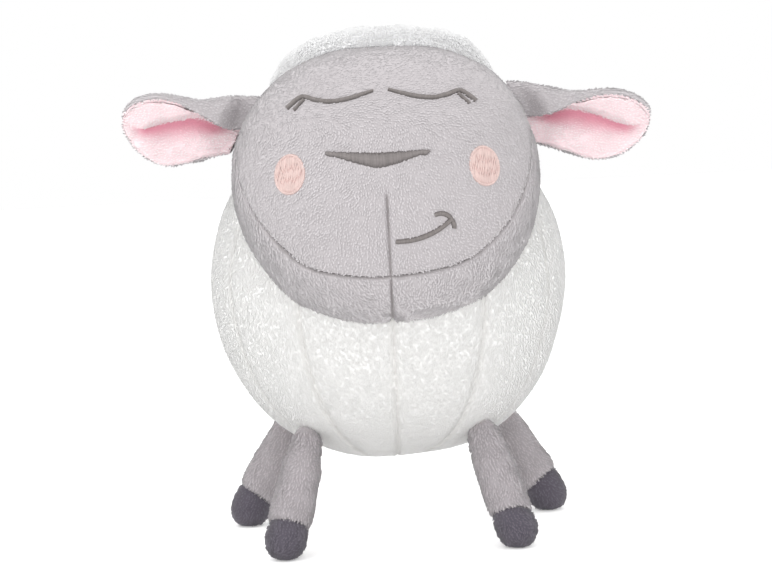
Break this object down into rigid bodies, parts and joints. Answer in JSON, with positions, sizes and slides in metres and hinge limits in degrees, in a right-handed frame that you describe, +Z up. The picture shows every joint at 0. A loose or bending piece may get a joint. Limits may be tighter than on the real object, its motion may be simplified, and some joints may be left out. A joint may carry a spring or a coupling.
{
  "type": "plush animal night light",
  "caption": "Stuffed sheep with a round white body, grey face, pink-lined ears and short legs, and a pull-out battery light unit in its back.",
  "frame": {"origin": "on the floor, below the middle of the box", "axes": "+Z up, the face looks along -Y, +X is the right of the picture"},
  "size_m": [0.2256, 0.184, 0.2288],
  "materials": {
    "white_plush": "deep soft pile, white",
    "wool": "curly fleece, white",
    "grey_plush": "short soft pile, light grey",
    "leg_plush": "short soft pile, mid grey",
    "hoof_plush": "short soft pile, dark grey",
    "pink_plush": "short soft pile, pink",
    "pink_thread": "satin stitch, salmon pink",
    "grey_thread": "satin stitch, grey",
    "wadding": "loose polyester fibre",
    "binding": "woven binding over elastic",
    "white_abs": "fine spark texture",
    "grey_abs": "fine spark texture",
    "pink_rubber": "matte silicone",
    "diffuser": "frosted, translucent",
    "board_green": "solder-masked circuit board",
    "led_lens": "clear domed lens, warm",
    "black_plastic": "moulded",
    "cell_jacket": "plain printed foil jacket",
    "spring_steel": "nickel plated",
    "zinc_steel": "zinc plated",
    "red_lead": "insulated wire, red",
    "black_lead": "insulated wire, black"
  },
  "bodies": {
    "toy": {"face_panel": "grey_plush", "chin_panel": "grey_plush", "head_wadding": "wadding", "wool_cap": "wool", "nose_stitching": "grey_thread", "cheek_left": "pink_thread", "eye_left": "grey_thread", "cheek_right": "pink_thread", "eye_right": "grey_thread", "mouth_stitching": "grey_thread", "body_cover": "white_plush", "body_wadding": "wadding", "opening_hem": "binding", "pocket_liner": "binding"},
    "light_unit": {"rear_cover": "white_abs", "housing_screw_1": "zinc_steel", "housing_screw_2": "zinc_steel", "housing_screw_3": "zinc_steel", "unit_housing": "white_abs", "diffuser_dome": "diffuser", "led_board": "board_green", "led_1": "led_lens", "led_2": "led_lens", "led_3": "led_lens", "led_4": "led_lens", "battery_tray": "white_abs", "battery_1": "cell_jacket", "contact_spring_1": "spring_steel", "battery_2": "cell_jacket", "contact_spring_2": "spring_steel", "battery_3": "cell_jacket", "contact_spring_3": "spring_steel", "contact_pair_lower": "spring_steel", "contact_single_lower": "spring_steel", "contact_pair_upper": "spring_steel", "contact_single_upper": "spring_steel", "lead_red": "red_lead", "lead_black": "black_lead", "tact_switch": "black_plastic", "slide_switch_body": "black_plastic"},
    "battery_door": {"battery_door": "white_abs", "door_screw": "zinc_steel"},
    "light_button": {"light_button": "pink_rubber"},
    "mode_switch": {"mode_switch": "grey_abs"},
    "ear_left": {"ear_left": "grey_plush", "ear_lining_left": "pink_plush"},
    "leg_front_left": {"leg_front_left": "leg_plush", "hoof_front_left": "hoof_plush"},
    "leg_rear_left": {"leg_rear_left": "leg_plush", "hoof_rear_left": "hoof_plush"},
    "ear_right": {"ear_right": "grey_plush", "ear_lining_right": "pink_plush"},
    "leg_front_right": {"leg_front_right": "leg_plush", "hoof_front_right": "hoof_plush"},
    "leg_rear_right": {"leg_rear_right": "leg_plush", "hoof_rear_right": "hoof_plush"}
  },
  "joints": [
    {"name": "light_unit_pull", "type": "slide", "parent": "toy", "child": "light_unit", "axis": [0, 1, 0], "range_m": [0, 0.085]},
    {"name": "battery_door_hinge", "type": "hinge", "parent": "light_unit", "child": "battery_door", "pos_m": [0, 0.08742, 0.08743], "axis": [-1, 0, 0], "range_deg": [0, 80]},
    {"name": "light_button_press", "type": "slide", "parent": "light_unit", "child": "light_button", "axis": [0, -1, 0], "range_m": [0, 0.0015], "stiffness_N_per_m": 900},
    {"name": "mode_switch_slide", "type": "slide", "parent": "light_unit", "child": "mode_switch", "axis": [0, 0, 1], "range_m": [0, 0.004]},
    {"name": "ear_left_flap", "type": "hinge", "parent": "toy", "child": "ear_left", "pos_m": [-0.06442, -0.02091, 0.18674], "axis": [-0.4194, 0, -0.9078], "range_deg": [-30, 30], "stiffness_Nm_per_rad": 0.02},
    {"name": "ear_right_flap", "type": "hinge", "parent": "toy", "child": "ear_right", "pos_m": [0.06442, -0.02091, 0.18674], "axis": [-0.4194, 0, 0.9078], "range_deg": [-30, 30], "stiffness_Nm_per_rad": 0.02},
    {"name": "leg_front_left_swing", "type": "hinge", "parent": "toy", "child": "leg_front_left", "pos_m": [-0.04107, -0.02143, 0.05011], "axis": [1, 0, 0], "range_deg": [-30, 30]},
    {"name": "leg_front_right_swing", "type": "hinge", "parent": "toy", "child": "leg_front_right", "pos_m": [0.04107, -0.02143, 0.05011], "axis": [1, 0, 0], "range_deg": [-30, 30]},
    {"name": "leg_rear_left_swing", "type": "hinge", "parent": "toy", "child": "leg_rear_left", "pos_m": [-0.04803, 0.04542, 0.05401], "axis": [1, 0, 0], "range_deg": [-25, 30]},
    {"name": "leg_rear_right_swing", "type": "hinge", "parent": "toy", "child": "leg_rear_right", "pos_m": [0.04803, 0.04542, 0.05401], "axis": [1, 0, 0], "range_deg": [-25, 30]}
  ]
}
